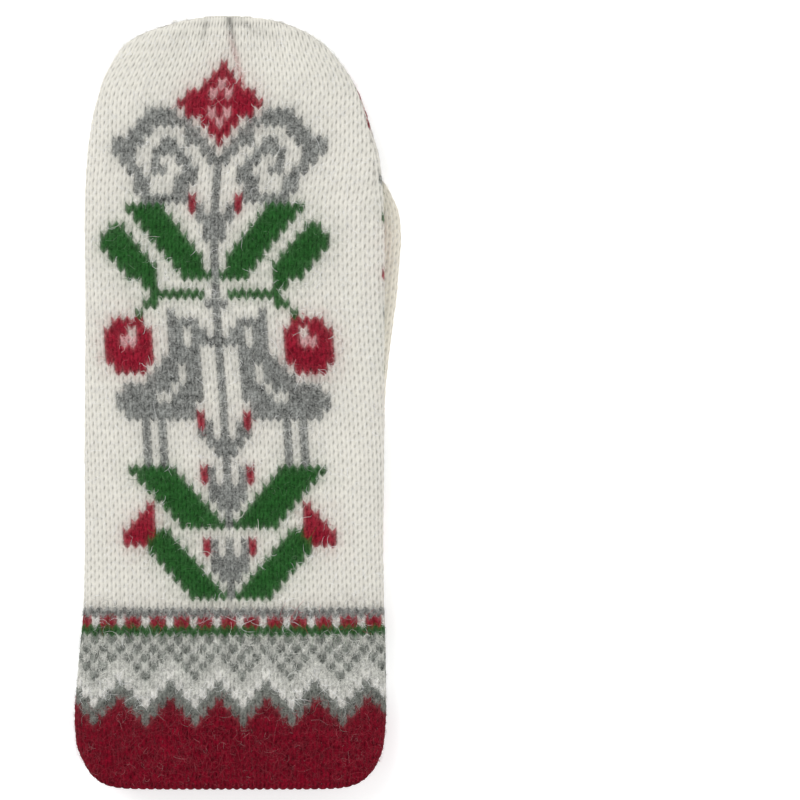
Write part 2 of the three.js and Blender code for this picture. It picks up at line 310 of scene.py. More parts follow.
def thumb_section(y, inset):
    moved = profile(THUMB_PROFILE, THUMB_TIP_Y - inset - y)
    outer = profile(THUMB_PROFILE, THUMB_TIP_Y - y)
    half = min(outer[2] - 2 * inset, moved[2]) / 2
    left, right, middle = moved[0] + inset, moved[1] - inset, outer[2] / 2
    x = (left + right) / 2 + (right - left) / 2 * ROUND_X
    top = np.maximum(inset, middle + half * ROUND_Z)
    under = np.maximum(inset, middle - (half + (UNDERSIDE_SAG - 1) * middle) * ROUND_Z)
    return x, np.full_like(x, y), top, under


def spread(k):
    """How far column k lies from the middle one on the mitten, in units of a column's pitch."""
    return COLUMN_SPREAD["pitch"] * k + COLUMN_SPREAD["growth"] * k ** 3


def lattice(section, rows, y_of, inset, axis_of, least_of, columns, spread_of, raise_under=None):
    """Positions of every column line on a fine series of rows.

    A row's section is one closed loop. Columns are laid out from the middle of the back and from the
    middle of the palm, and where they no longer fit they gather at the two sides.
    """
    lines = np.arange(columns * PER_COLUMN) / PER_COLUMN - columns / 2
    quarter = columns / 4
    on_back = np.abs(lines) <= quarter
    beneath = np.where(lines >= 0, columns / 2 - lines, -columns / 2 - lines)
    offset = spread_of(np.abs(np.where(on_back, lines, beneath)))
    side = np.where(lines >= 0, 1.0, -1.0)
    places = np.empty((len(rows), len(lines), 3))
    for index, row in enumerate(rows):
        x, y, top, under = section(y_of(row), inset)
        loop = np.stack([
            np.concatenate([x, x[-2::-1]]),
            np.concatenate([y, y[-2::-1]]),
            np.concatenate([top, under[-2::-1]]),
        ], axis=1)
        run = np.concatenate([[0], np.cumsum(np.linalg.norm(np.diff(loop, axis=0), axis=1))])
        around = max(run[-1], 1e-6)
        middle = np.interp(axis_of(y_of(row), x), x, run[:len(x)])
        pitch = max(around / (4 * spread_of(quarter)), least_of(row))
        reach = np.minimum(offset * pitch, around / 4)
        at = np.where(on_back, side * reach, side * (around / 2 - reach))
        at = np.mod(middle + at, around)
        for axis in range(3):
            places[index, :, axis] = np.interp(at, run, loop[:, axis])
        if raise_under:
            beyond = at > run[len(x) - 1]
            places[index, beyond, 2] = raise_under(places[index, beyond], y_of(row), inset)
    return places


def hand_y(row):
    """The height of a knitted row on the mitten: rows above 0 are the hand, below 0 the cuff."""
    if row < 0:
        return max(RIM_Y, CUFF_TOP_Y + row * CUFF_ROW)
    if row > HAND_ROWS - TIP_ROWS:
        way = (HAND_ROWS - row) / TIP_ROWS * TIP_ARC[-1, 0]
        return TIP_Y - np.interp(way, TIP_ARC[:, 0], TIP_ARC[:, 1])
    turn, start, even_pitch = (HAND_SPREAD[name] for name in ("even_from", "even_start", "even_pitch"))
    up = HAND_SPREAD["pitch"] * row + HAND_SPREAD["growth"] * row * row
    if row > turn:
        up = start + even_pitch * (row - turn)
    full = start + even_pitch * (HAND_ROWS - turn)
    return CUFF_TOP_Y + (TIP_Y - CUFF_TOP_Y) * up / full


def liner_y(row):
    """The same inside the wall, where the last rows end short of the tip."""
    return min(hand_y(row), TIP_Y - WALL - 0.01)


def mitten_axis(y, x):
    middle = np.interp(y, AXIS[:, 0], AXIS[:, 1])
    return np.clip(middle, x[0], x[-1])


def mitten_least(row):
    """The narrowest that a column gets before the sides lose columns."""
    return STITCH_PITCH * (0.9 + 0.1 * smooth(36, 46, row) - 0.25 * smooth(55, 64, row))


def sample(places, rows, at, columns):
    """Positions at row places at[j, i] on column lines columns[i]."""
    out = np.empty(at.shape + (3,))
    for i, column in enumerate(columns):
        for axis in range(3):
            out[:, i, axis] = np.interp(at[:, i], rows, places[:, column, axis])
    return out


def layout_rows(first, rows, tip_steps):
    """The rows that a part is laid out on: evenly fine ones, and closer ones towards the tip."""
    closer = rows - TIP_ROWS * np.linspace(1, 0, tip_steps) ** 2
    return np.concatenate([np.arange(first, rows - TIP_ROWS, FINE_STEP), closer])


def chevron(lines):
    """How far each column line is shifted along the rows, so that a row reads as a line of Vs."""
    across = lines - np.floor(lines + 0.5) + 0.5
    return V_DEPTH * (np.abs(2 * across - 1) - 0.5)


def grid_faces(height, width):
    """Quads of a grid that closes on itself sideways."""
    j, i = np.meshgrid(np.arange(height - 1), np.arange(width), indexing="ij")
    a = j * width + i
    b = j * width + (i + 1) % width
    return np.stack([a, b, b + width, a + width], axis=-1).reshape(-1, 4)


def weld(points, faces):
    """Merges points that coincide and drops the faces that this closes up."""
    keys = np.round(points / 1e-4).astype(np.int64)
    _, first, same = np.unique(keys, axis=0, return_index=True, return_inverse=True)
    same = same.reshape(-1)
    joined = same[faces]
    ordered = np.sort(joined, axis=1)
    distinct = 1 + (np.diff(ordered, axis=1) != 0).sum(axis=1)
    keep = distinct >= 3
    return first, same, joined, keep


def normals_of(points, faces):
    a, b, c, d = (points[faces[:, n]] for n in range(4))
    cross = np.cross(c - a, d - b)
    out = np.zeros_like(points)
    for n in range(4):
        np.add.at(out, faces[:, n], cross)
    return out / np.maximum(1e-12, np.linalg.norm(out, axis=1))[:, None]


def blurred(image, down, across):
    """An image blurred along its rows by one reach and round its columns by another."""
    for reach, axis in ((down, 0), (across, 1)):
        far = int(np.ceil(2.5 * reach))
        offsets = np.arange(-far, far + 1)
        weights = np.exp(-0.5 * (offsets / reach) ** 2)
        weights /= weights.sum()
        if axis == 1:
            image = sum(w * np.roll(image, o, axis=1) for o, w in zip(offsets, weights))
        else:
            padded = np.pad(image, [(far, far), (0, 0), (0, 0)], mode="edge")
            image = sum(w * padded[far + o:far + o + image.shape[0]] for o, w in zip(offsets, weights))
    return image


def linear(red, green, blue):
    value = np.array([red, green, blue]) / 255
    return np.where(value <= 0.04045, value / 12.92, ((value + 0.055) / 1.055) ** 2.4)


# Yarns: colour, and how mixed its fibres are.
YARNS = dict(
    white=(linear(234, 231, 221), 0.10),
    red=(linear(138, 16, 40), 0.60),
    veiled=(linear(214, 170, 170), 0.40),
    green=(linear(34, 84, 34), 0.60),
    grey=(linear(126, 128, 125), 0.95),
    band_white=(linear(240, 238, 231), 0.25),
    lice=(linear(200, 200, 193), 0.50),
    band_grey=(linear(114, 118, 112), 0.90),
    cuff_red=(linear(112, 5, 28), 0.75),
    cream=(linear(242, 236, 221), 0.10),
)
YARN_COLOURS = np.array([colour for colour, _ in YARNS.values()])
YARN_MIX = np.array([mix for _, mix in YARNS.values()])
YARN_INDEX = {name: index for index, name in enumerate(YARNS)}
STRAND_RED = linear(165, 45, 60)

# The cuff's zigzag: columns between its points, the column of one point, and the row of its upper line.
PEAK_GAP = 6
FIRST_PEAK = 4
PEAK_ROW = -8

# The palm's flecks: rows in a stripe of one colour, where the first one starts, and bare rows at the tip.
STRIPE = 5
STRIPE_START = 49
BARE_ROWS = 3

# The back's pattern, the same to both sides of the middle column.
# Each shape: yarn, then row, first column, last column.
SHAPES = [
    ("green", [(1, 1, 5), (2, 2, 6), (3, 3, 7), (4, 4, 8), (5, 5, 9), (6, 6, 10), (7, 7, 10), (8, 8, 9)]),
    ("red", [(7, 11, 13), (8, 10, 13), (9, 10, 12), (10, 10, 11), (11, 10, 10)]),
    ("grey", [(1, 0, 0), (2, 0, 0), (3, 0, 1), (4, 0, 2), (5, 0, 2), (6, 0, 0), (6, 2, 2), (7, 0, 0),
              (7, 2, 2)]),
    ("green", [(9, 1, 6), (10, 2, 7), (11, 3, 8), (12, 4, 9), (13, 5, 10), (14, 6, 11), (15, 7, 12)]),
    ("grey", [(9, 0, 0), (10, 0, 0), (11, 0, 1), (12, 0, 2), (13, 0, 2), (14, 0, 0), (14, 2, 2), (15, 0, 0),
              (15, 2, 2), (16, 0, 0)]),
    ("grey", [(17, 0, 1), (18, 0, 2), (19, 0, 0), (19, 2, 3), (20, 0, 0), (20, 2, 2)]),
    ("grey", [(row, 0, 0) for row in range(21, 36)] + [(33, 1, 1)]),
    ("grey", [(row, 8, 8) for row in range(16, 21)] + [(row, 10, 10) for row in range(16, 21)]),
    ("grey", [(21, 4, 12), (22, 4, 13), (23, 3, 13), (24, 3, 12), (25, 3, 9), (26, 3, 8), (27, 3, 7),
              (28, 3, 6), (29, 1, 6), (30, 2, 6), (31, 3, 6), (32, 6, 6)]),
    ("white", [(29, 4, 4), (30, 4, 4), (25, 5, 5), (26, 5, 5), (24, 6, 6), (23, 7, 8)]),
    ("red", [(26, 10, 13), (27, 9, 14), (28, 9, 14), (29, 9, 14), (30, 9, 14), (31, 10, 13)]),
    ("white", [(30, 11, 11)]),
    ("veiled", [(29, 11, 12)]),
    ("green", [(34, 2, 8), (33, 8, 9), (32, 10, 10)]),
    ("green", [(35, 8, 9), (36, 8, 11), (37, 8, 12), (38, 9, 13), (39, 10, 14), (40, 11, 14),
               (41, 12, 13)]),
    ("green", [(36, 1, 4), (37, 2, 5), (38, 2, 6), (39, 3, 7), (40, 4, 8), (41, 5, 9), (42, 6, 10),
               (43, 7, 11)]),
    ("grey", [(row, 0, 0) for row in range(36, 40)] + [(40, 0, 1), (41, 0, 1), (42, 0, 2), (43, 0, 0),
              (43, 2, 2)]),
    ("red", [(row, 3, 3) for row in (6, 7, 14, 15, 20, 21, 43, 44)]),
    ("grey", [(row, 0, 0) for row in range(44, 48)] + [(48, 0, 1), (49, 1, 2), (44, 4, 9), (45, 4, 5),
              (45, 9, 10), (46, 3, 5), (46, 9, 10), (47, 3, 4), (47, 7, 8), (47, 10, 11), (48, 4, 5),
              (48, 8, 8), (48, 11, 12), (49, 5, 8), (49, 11, 13), (50, 2, 4), (50, 6, 7), (50, 10, 13),
              (51, 3, 4), (51, 9, 11), (52, 4, 10), (53, 6, 9)]),
    ("red", [(50, 0, 0), (51, 0, 1), (52, 0, 2), (53, 0, 4), (54, 0, 5), (55, 0, 4), (56, 0, 2), (57, 0, 1),
             (58, 0, 0)]),
    ("veiled", [(56, 0, 0), (55, 1, 1), (53, 1, 1), (52, 0, 0)]),
]


def chart():
    """The yarn of every stitch of the mitten: rows from the rim to the tip, columns round it."""
    yarns = np.full((ROW_ZERO + HAND_ROWS, COLUMNS), YARN_INDEX["white"])
    half = COLUMNS // 2

    for yarn, spans in SHAPES:
        for row, first, last in spans:
            for k in range(first, last + 1):
                yarns[ROW_ZERO + row, half + k] = YARN_INDEX[yarn]
                yarns[ROW_ZERO + row, half - k] = YARN_INDEX[yarn]

    for row in range(HAND_ROWS - BARE_ROWS):
        for column in range(COLUMNS):
            k = column - half
            if abs(k) <= PATTERN_EDGE:
                continue
            across = half - k if k > 0 else -half - k
            if (across + row) % 2:
                continue
            along = across + row - STRIPE_START
            # Only the first fleck of each stripe comes round the fold.
            if abs(k) == PATTERN_EDGE + 1 and along % STRIPE > 1:
                continue
            stripe = along // STRIPE % 3
            yarns[ROW_ZERO + row, column] = YARN_INDEX[("grey", "red", "green")[stripe]]

    for row in range(-ROW_ZERO, 0):
        for column in range(COLUMNS):
            k = column - half
            from_peak = abs((k - FIRST_PEAK + PEAK_GAP // 2) % PEAK_GAP - PEAK_GAP // 2)
            yarn = "cuff_red"
            if row == -1:
                yarn = "grey"
            elif row == -2:
                yarn = "band_white" if k % 3 == 1 else "red"
            elif row == -3:
                yarn = "green"
            elif row >= PEAK_ROW - from_peak:
                on_peak = row == PEAK_ROW - from_peak
                light = row == PEAK_ROW + 1 - from_peak or (k + row) % 2 == 0
                yarn = "band_white" if on_peak else "lice" if light else "band_grey"
            elif row >= PEAK_ROW - 2 - from_peak:
                yarn = "band_grey"
            yarns[ROW_ZERO + row, column] = YARN_INDEX[yarn]
    return yarns


def attribute(mesh, name, kind, domain, values):
    """Stores values for a material to read; a colour gets its alpha here."""
    if kind == "FLOAT_COLOR":
        values = np.concatenate([values, np.ones((len(values), 1))], axis=1)
    layer = mesh.attributes.new(name, kind, domain)
    field = {"FLOAT": "value", "FLOAT_COLOR": "color", "FLOAT_VECTOR": "vector"}[kind]
    layer.data.foreach_set(field, np.ascontiguousarray(values, dtype=np.float32).ravel())


def mesh_piece(name, points, faces, replaces=None):
    """A mesh object from points in millimetres and quads; a quad that repeats a point is a triangle."""
    quads = np.asarray(faces)
    repeat = quads == np.roll(quads, 1, axis=1)
    counts = 4 - repeat.sum(axis=1)
    corners = quads[~repeat]
    starts = np.concatenate([[0], np.cumsum(counts)[:-1]])
    mesh = bpy.data.meshes.new(name)
    mesh.vertices.add(len(points))
    mesh.vertices.foreach_set("co", np.ascontiguousarray(points * MM, dtype=np.float32).ravel())
    mesh.loops.add(len(corners))
    mesh.loops.foreach_set("vertex_index", corners.astype(np.int32))
    mesh.polygons.add(len(quads))
    mesh.polygons.foreach_set("loop_start", starts.astype(np.int32))
    mesh.update(calc_edges=True)
    mesh.polygons.foreach_set("use_smooth", np.full(len(quads), True))
    piece = bpy.data.objects.new(name, mesh)
    bpy.context.scene.collection.objects.link(piece)
    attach(piece, "root")
    if replaces:
        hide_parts(replaces)
    return piece, ~repeat


def knit(base, at_rows, lines, yarns, row_zero, relief, seed):
    """Welds a grid of stitches, raises its legs, works out its colours and its pits, and paints shade into
    the pits and between the legs.
    """
    height, width = base.shape[:2]
    phase_row = np.round(at_rows * PER_ROW).astype(int) % PER_ROW
    phase_column = np.round((lines + 0.5) * PER_COLUMN).astype(int) % PER_COLUMN
    leg = np.where(phase_column % HALF_COLUMN == 0, STITCH["between"], 1.0)[None, :]
    length = np.where(phase_row == 0, STITCH["ends"], 1.0)[:, None]
    pit = ((phase_column == 0)[None, :] & (phase_row == 1)[:, None]).astype(float)
    pit += STITCH["small_pit"] * ((phase_column == HALF_COLUMN)[None, :] & (phase_row == 1)[:, None])
    rng = np.random.default_rng(seed)
    loose = rng.normal(0, 1, (height // PER_ROW + 2, width // PER_COLUMN + 1))
    rows_of = np.minimum(np.arange(height) // PER_ROW, loose.shape[0] - 1)
    uneven = loose[rows_of][:, np.arange(width) // PER_COLUMN]
    breadth = np.linalg.norm(np.roll(base, -1, axis=1) - base, axis=2) * PER_COLUMN
    room = np.clip((breadth + np.roll(breadth, 1, axis=1)) / 2 / STITCH["full_width"], 0, 1)
    raised = room * relief * (leg * length * (1 + STITCH["vary"] * uneven) - STITCH["pit"] * pit)
    # Painted shade: the colour is darkened in the pits and in the valleys between the legs.
    shade = room ** 3 * (STITCH["valley_shade"] * (1 - leg) * (1 - pit) + pit)
    faces = grid_faces(height, width)
    points = base.reshape(-1, 3)
    first, same, joined, keep = weld(points, faces)
    merged = points[first]
    outward = normals_of(merged, joined[keep])
    offsets = np.zeros(len(merged))
    shades = np.zeros(len(merged))
    counts = np.bincount(same, minlength=len(merged))
    np.add.at(offsets, same, raised.ravel())
    np.add.at(shades, same, shade.ravel())
    offsets /= counts
    shades /= counts
    moved = merged + outward * offsets[:, None]
    moved[:, 2] = np.maximum(moved[:, 2], 0.02)

    j, i = np.meshgrid(np.arange(height - 1), np.arange(width), indexing="ij")
    stitch_row = row_zero + np.floor(at_rows[:-1][j] + 1e-6).astype(int)
    stitch_column = (i + HALF_COLUMN) // PER_COLUMN % (width // PER_COLUMN)
    stitch = yarns[np.clip(stitch_row, 0, len(yarns) - 1), stitch_column]
    return moved, joined, keep, shades, stitch, same, first


def felted_colours(image, down, across):
    """An image of yarns blurred so that dark fibres show more over light ones than the other way."""
    weight = 1 - 0.72 * image.mean(axis=-1, keepdims=True)
    return blurred(image * weight, down, across) / blurred(weight, down, across)


def soft_edges(stitch, reach):
    """The colour at each corner of a stitch grid once its fibres have felted over their neighbours."""
    soft = felted_colours(YARN_COLOURS[stitch], reach * PER_ROW, reach * PER_COLUMN)
    soft = np.concatenate([soft[:1], (soft[:-1] + soft[1:]) / 2, soft[-1:]])
    return ((soft + np.roll(soft, 1, axis=1)) / 2).reshape(-1, 3)


def finish_knit(piece, used, stitch, shades, near, haze, along, across, glow=None):
    """Writes the colours that the wool's material reads."""
    mesh = piece.data
    colours = np.repeat(YARN_COLOURS[stitch][:, None, :], 4, axis=1)[used]
    attribute(mesh, "yarn", "FLOAT_COLOR", "CORNER", colours)
    mix = np.repeat(YARN_MIX[stitch][:, None], 4, axis=1)[used]
    attribute(mesh, "mix", "FLOAT", "CORNER", mix)
    # Painted shade: how much the colour is darkened at each point, in pits, valleys, gathers and linings.
    attribute(mesh, "pit", "FLOAT", "POINT", shades)
    attribute(mesh, "near", "FLOAT_COLOR", "POINT", near)
    attribute(mesh, "haze", "FLOAT_COLOR", "POINT", haze)
    place = np.stack([across, along, np.zeros_like(along)], axis=1)
    attribute(mesh, "stitch_place", "FLOAT_VECTOR", "POINT", place)
    if glow is not None:
        attribute(mesh, "glow", "FLOAT", "POINT", glow)


def haze_at(yarns, rows, columns, reach):
    """The blurred colour of the yarns around each point, for fibres that stray over their neighbours."""
    soft = felted_colours(YARN_COLOURS[yarns], reach, reach)
    row = np.clip(np.round(rows + ROW_ZERO - 0.5).astype(int), 0, len(yarns) - 1)
    column = np.round(columns).astype(int) % yarns.shape[1]
    return soft[row, column]


class Shader:
    """A small builder for a material's nodes."""

    def __init__(self, name):
        self.material = bpy.data.materials.new(name)
        self.material.use_nodes = True
        self.tree = self.material.node_tree
        self.tree.nodes.clear()

    def add(self, kind, inputs=None, **settings):
        node = self.tree.nodes.new(kind)
        for key, value in settings.items():
            setattr(node, key, value)
        for key, value in (inputs or {}).items():
            if isinstance(value, bpy.types.NodeSocket):
                self.tree.links.new(value, node.inputs[key])
            else:
                node.inputs[key].default_value = value
        return node

    def maths(self, operation, a, b):
        return self.add("ShaderNodeMath", {0: a, 1: b}, operation=operation).outputs[0]

    def read(self, name, output):
        return self.add("ShaderNodeAttribute", attribute_name=name).outputs[output]

    def noise(self, vector, scale, detail=2.0, roughness=0.5):
        inputs = {"Vector": vector, "Scale": scale, "Detail": detail, "Roughness": roughness}
        return self.add("ShaderNodeTexNoise", inputs).outputs["Fac"]

    def range(self, value, low, high, to_low, to_high):
        inputs = {"Value": value, 1: low, 2: high, 3: to_low, 4: to_high}
        return self.add("ShaderNodeMapRange", inputs).outputs["Result"]

    def mix(self, factor, a, b):
        node = self.add("ShaderNodeMix", data_type="RGBA")
        for index, value in ((0, factor), (6, a), (7, b)):
            if isinstance(value, bpy.types.NodeSocket):
                self.tree.links.new(value, node.inputs[index])
            else:
                node.inputs[index].default_value = value
        return node.outputs[2]

    def scaled(self, colour, factor):
        return self.add("ShaderNodeVectorMath", {0: colour, "Scale": factor}, operation="SCALE").outputs[0]


def wool(name, haze_amount, pit_painted_shade, glows=False, strand_bump=0.6):
    """Wool: its yarn's mixed fibres, felted over their neighbours, with painted shade in the pits and fine
    strands.
    """
    shader = Shader(name)
    place = shader.add("ShaderNodeTexCoord").outputs["Object"]
    yarn = shader.read("yarn", "Color")
    mixed = shader.read("mix", "Fac")
    pit = shader.read("pit", "Fac")
    haze = shader.read("haze", "Color")
    stitch_place = shader.read("stitch_place", "Vector")

    # The yarn's tone: single fibres, tufts of them, and a slow drift over the whole mitten.
    fleck = shader.noise(place, 1500.0, 2.0, 0.6)
    fleck = shader.range(fleck, 0.32, 0.68, -1.0, 1.0)
    tuft = shader.noise(place, 420.0, 2.0, 0.5)
    tuft = shader.range(tuft, 0.3, 0.7, -1.0, 1.0)
    cloud = shader.noise(place, 45.0, 2.0, 0.5)
    cloud = shader.range(cloud, 0.3, 0.7, -0.035, 0.035)
    both = shader.maths("ADD", shader.maths("MULTIPLY", fleck, 0.55), shader.maths("MULTIPLY", tuft, 0.42))
    both = shader.maths("MULTIPLY", both, mixed)
    tone = shader.maths("ADD", shader.maths("ADD", both, cloud), 1.0)
    tone = shader.maths("MAXIMUM", tone, 0.12)

    # Its neighbours' colours: frayed edges, and a veil that lies more on light yarns than on dark ones.
    fray = shader.noise(place, 1100.0, 3.0, 0.7)
    fray = shader.range(fray, 0.35, 0.65, 0.2, 1.0)
    felted = shader.mix(fray, yarn, shader.read("near", "Color"))
    veil = shader.noise(place, 300.0, 3.0, 0.6)
    veil = shader.range(veil, 0.35, 0.75, 0.1, haze_amount)
    light_yarn = shader.add("ShaderNodeRGBToBW", {"Color": yarn}).outputs[0]
    veil = shader.maths("MULTIPLY", veil, shader.range(light_yarn, 0.05, 0.6, 0.12, 1.0))
    colour = shader.mix(veil, felted, haze)
    colour = shader.scaled(colour, tone)
    # Painted shade: the pits, the valleys between legs, the gathers and the linings are darkened in colour.
    dark = shader.maths("SUBTRACT", 1.0, shader.maths("MULTIPLY", pit, pit_painted_shade))
    colour = shader.scaled(colour, dark)

    # The relief of the strands along each stitch and of loose hairs.
    fibre = shader.add("ShaderNodeVectorMath", {0: stitch_place, 1: (14.0, 2.2, 1.0)}, operation="MULTIPLY")
    strands = shader.noise(fibre.outputs[0], 1.0, 3.0, 0.6)
    hairy = shader.noise(place, 2400.0, 3.0, 0.7)
    strands = shader.maths("MULTIPLY", strands, 0.00025)
    hairy = shader.maths("MULTIPLY", hairy, 0.0002)
    height = shader.maths("ADD", strands, hairy)
    bump = shader.add("ShaderNodeBump", {"Strength": strand_bump, "Distance": 1.0, "Height": height})
    inputs = {
        "Base Color": colour,
        "Roughness": 0.92,
        "Specular IOR Level": 0.06,
        "Sheen Weight": 0.03,
        "Sheen Roughness": 0.6,
        "Normal": bump.outputs["Normal"],
    }
    # Painted light: the linings glow a little, standing in for light that reaches them from outside.
    if glows:
        inputs["Emission Color"] = shader.scaled(colour, shader.read("glow", "Fac"))
        inputs["Emission Strength"] = LINING_GLOW
    surface = shader.add("ShaderNodeBsdfPrincipled", inputs)
    shader.add("ShaderNodeOutputMaterial", {"Surface": surface.outputs[0]})
    return shader.material


def hair_material(name):
    """A stray fibre's own colour, a little uneven along its length."""
    shader = Shader(name)
    place = shader.add("ShaderNodeTexCoord").outputs["Object"]
    colour = shader.read("hair", "Color")
    tone = shader.range(shader.noise(place, 500.0, 2.0), 0.3, 0.7, 0.8, 1.2)
    surface = shader.add("ShaderNodeBsdfPrincipled", {
        "Base Color": shader.scaled(colour, tone),
        "Roughness": 0.75,
        "Specular IOR Level": 0.25,
    })
    shader.add("ShaderNodeOutputMaterial", {"Surface": surface.outputs[0]})
    return shader.material


def outline_room(points, root):
    """How far each root is from the piece's outline on its sides or below."""
    low = points[:, 1].min()
    bins = np.floor((points[:, 1] - low) / FIBRE_BIN).astype(int)
    left, right = np.full(bins.max() + 1, 1e3), np.full(bins.max() + 1, -1e3)
    np.minimum.at(left, bins, points[:, 0])
    np.maximum.at(right, bins, points[:, 0])
    at = np.clip(np.floor((root[:, 1] - low) / FIBRE_BIN).astype(int), 0, bins.max())
    aside = np.minimum(root[:, 0] - left[at], right[at] - root[:, 0])
    return np.maximum(0, np.minimum(aside, root[:, 1] - low))


def hairs(name, points, faces, face_yarns, count, seed, slot, reach):
    """Stray fibres lying over a knitted surface: narrow curling ribbons that taper to a point."""
    rng = np.random.default_rng(seed)
    a, b, c, d = (points[faces[:, n]] for n in range(4))
    cross = np.cross(c - a, d - b)
    area = np.linalg.norm(cross, axis=1)
    facing = np.abs(cross[:, 2]) / np.maximum(TINY, area)
    chance = area * facing ** 2
    chosen = rng.choice(len(faces), count, p=chance / chance.sum())
    root = (a + b + c + d)[chosen] / 4
    up = cross[chosen] / np.maximum(TINY, area[chosen])[:, None]
    wild = rng.normal(0, 1, (count, 3))
    flat = wild - (wild * up).sum(axis=1)[:, None] * up
    flat /= np.linalg.norm(flat, axis=1)[:, None]
    side = np.cross(up, flat)

    # Fibres are short on slopes and beneath, and near the outline.
    length = rng.gamma(FIBRE_SHAPE, reach / FIBRE_SHAPE, count) + FIBRE_SHORTEST
    slopes = [up[:, 2] > 0.8, up[:, 2] > 0.5, up[:, 2] < -0.5]
    length = np.minimum(length, np.select(slopes, FIBRE_LENGTHS[:3], FIBRE_LENGTHS[3]))
    length = np.minimum(length, 0.9 + 1.1 * outline_room(points, root))
    turn = rng.normal(0, FIBRE_TURN, count)
    sway = rng.normal(0, FIBRE_SWAY, count)
    rise = rng.uniform(*FIBRE_RISE, count)
    thick = rng.uniform(*FIBRE_HALF_WIDTH, count)

    stations = np.linspace(0, 1, FIBRE_STEPS + 1)
    spines = [root + up * FIBRE_LIFT]
    for t in stations[1:]:
        heading = turn * t + sway * np.sin(2 * np.pi * t)
        ahead = flat * np.cos(heading)[:, None] + side * np.sin(heading)[:, None]
        spines.append(spines[-1] + ahead * (length / FIBRE_STEPS)[:, None])
    per_hair = 2 * FIBRE_STEPS + 1
    verts = np.empty((count, per_hair, 3))
    for level, t in enumerate(stations):
        spine = spines[level] + up * (rise * np.sin(np.pi * min(t, 0.9)) - 0.15 * t)[:, None]
        spine[:, 2] = np.maximum(spine[:, 2], FIBRE_LOWEST)
        if level == FIBRE_STEPS:
            verts[:, -1] = spine
            continue
        across = np.cross(up, spines[level + 1] - spines[level])
        across /= np.maximum(TINY, np.linalg.norm(across, axis=1))[:, None]
        half = (thick * (1 - 0.4 * t))[:, None] * across
        verts[:, 2 * level] = spine - half
        verts[:, 2 * level + 1] = spine + half
    quads = [[2 * n + 1, 2 * n, 2 * n + 2, 2 * n + 3] for n in range(FIBRE_STEPS - 1)]
    quads.append([per_hair - 2, per_hair - 3, per_hair - 1, per_hair - 1])
    starts = np.arange(count) * per_hair
    all_faces = (starts[:, None, None] + np.array(quads)[None]).reshape(-1, 4)
    piece, _ = mesh_piece(name, verts.reshape(-1, 3), all_faces)

    # Most fibres keep their yarn's colour, a little lighter, and a few are pale.
    colour = YARN_COLOURS[face_yarns[chosen]]
    pale = np.where(rng.random(count) < 0.04, 0.18, rng.uniform(0.0, 0.05, count))[:, None]
    colour = np.minimum(colour * rng.uniform(1.0, 1.6, count)[:, None], FIBRE_LIGHTEST)
    colour = colour * (1 - pale) + PALE_WOOL * pale
    attribute(piece.data, "hair", "FLOAT_COLOR", "POINT", np.repeat(colour, per_hair, axis=0))
    piece.data.materials.append(hair_material(name))


# The mitten's stitches, as one grid from the rim to the fingertip.
yarns = chart()
fine_rows = np.unique(np.append(layout_rows(-CUFF_ROWS, HAND_ROWS, 60), 0.0))
layout = dict(axis_of=mitten_axis, least_of=mitten_least, columns=COLUMNS, spread_of=spread)
outer_places = lattice(mitten_section, fine_rows, hand_y, 0.0, raise_under=raised_palm, **layout)
inner_places = lattice(mitten_section, fine_rows, liner_y, WALL, raise_under=raised_palm, **layout)

line_count = COLUMNS * PER_COLUMN
lines = np.arange(line_count) / PER_COLUMN - COLUMNS / 2
rim_edge_row = -(CUFF_ROWS - 0.5)
steps_below = int(np.floor(-rim_edge_row * PER_ROW))
steps = np.arange(-steps_below, HAND_ROWS * PER_ROW + 1)
at_rows = steps / PER_ROW
shift = chevron(lines)
# The Vs fade out at the rim and at the tip, where the rows end straight.
fade = smooth(-CUFF_ROWS + 0.4, -CUFF_ROWS + 2.0, at_rows)[:, None]
fade = fade * (1 - smooth(HAND_ROWS - 3, HAND_ROWS - 0.5, at_rows))[:, None]
row_places = np.clip(at_rows[:, None] + shift[None, :] * fade, rim_edge_row, HAND_ROWS)
outer = sample(outer_places, fine_rows, row_places, range(line_count))

# Where the palm meets the root of the thumb, the last stitches before it end on one line.
root_y = THUMB_BASE_Y - GAP
near_root = (outer[..., 1] > root_y - ROOT_REACH) & (outer[..., 1] < root_y) & (outer[..., 2] < ROOT_TOP)
near_root &= (outer[..., 0] > ROOT_SIDES[0]) & (outer[..., 0] < ROOT_SIDES[1])
outer[..., 1] = np.where(near_root, root_y - 0.02, outer[..., 1])

moved, joined, keep, shades, stitch, same, first = knit(
    outer, at_rows, lines, yarns, ROW_ZERO, HAND_RELIEF, seed=11)
grid_rows = row_places.reshape(-1)[first]
grid_columns = np.tile(lines, len(at_rows))[first] + COLUMNS / 2
near = soft_edges(stitch, EDGE_REACH)[first]
haze = haze_at(yarns, grid_rows, grid_columns, HAZE_REACH)
stitch = stitch.reshape(-1)

# Painted shade darkens the gathers and creases on the tip's back, and the red strand shows through the
# longest gather.
top_side = moved[:, 2] > BACK_ABOVE
gather_shade = gather_at(moved[:, 0], moved[:, 1]) * top_side
crease_shade = gather_at(moved[:, 0], moved[:, 1], CREASE_SHADOWS) * top_side
shades = np.clip(shades + 0.3 * gather_shade ** 2 + 0.9 * crease_shade, 0, 1.5)
through = gather_at(moved[:, 0], moved[:, 1], RED_CREASE) * top_side
through = np.clip(through, 0, 1)[:, None] * 0.8
near = near * (1 - through) + STRAND_RED * through
haze = haze * (1 - through) + STRAND_RED * through

face_row = np.repeat(np.arange(len(at_rows) - 1), line_count)
in_hand = face_row >= steps_below


def take(mask):
    """The part of the stitches' grid that a mask of its faces keeps, with its points renumbered."""
    faces = joined[mask]
    used = np.unique(faces)
    number = np.full(len(moved), -1)
    number[used] = np.arange(len(used))
    return used, number[faces]


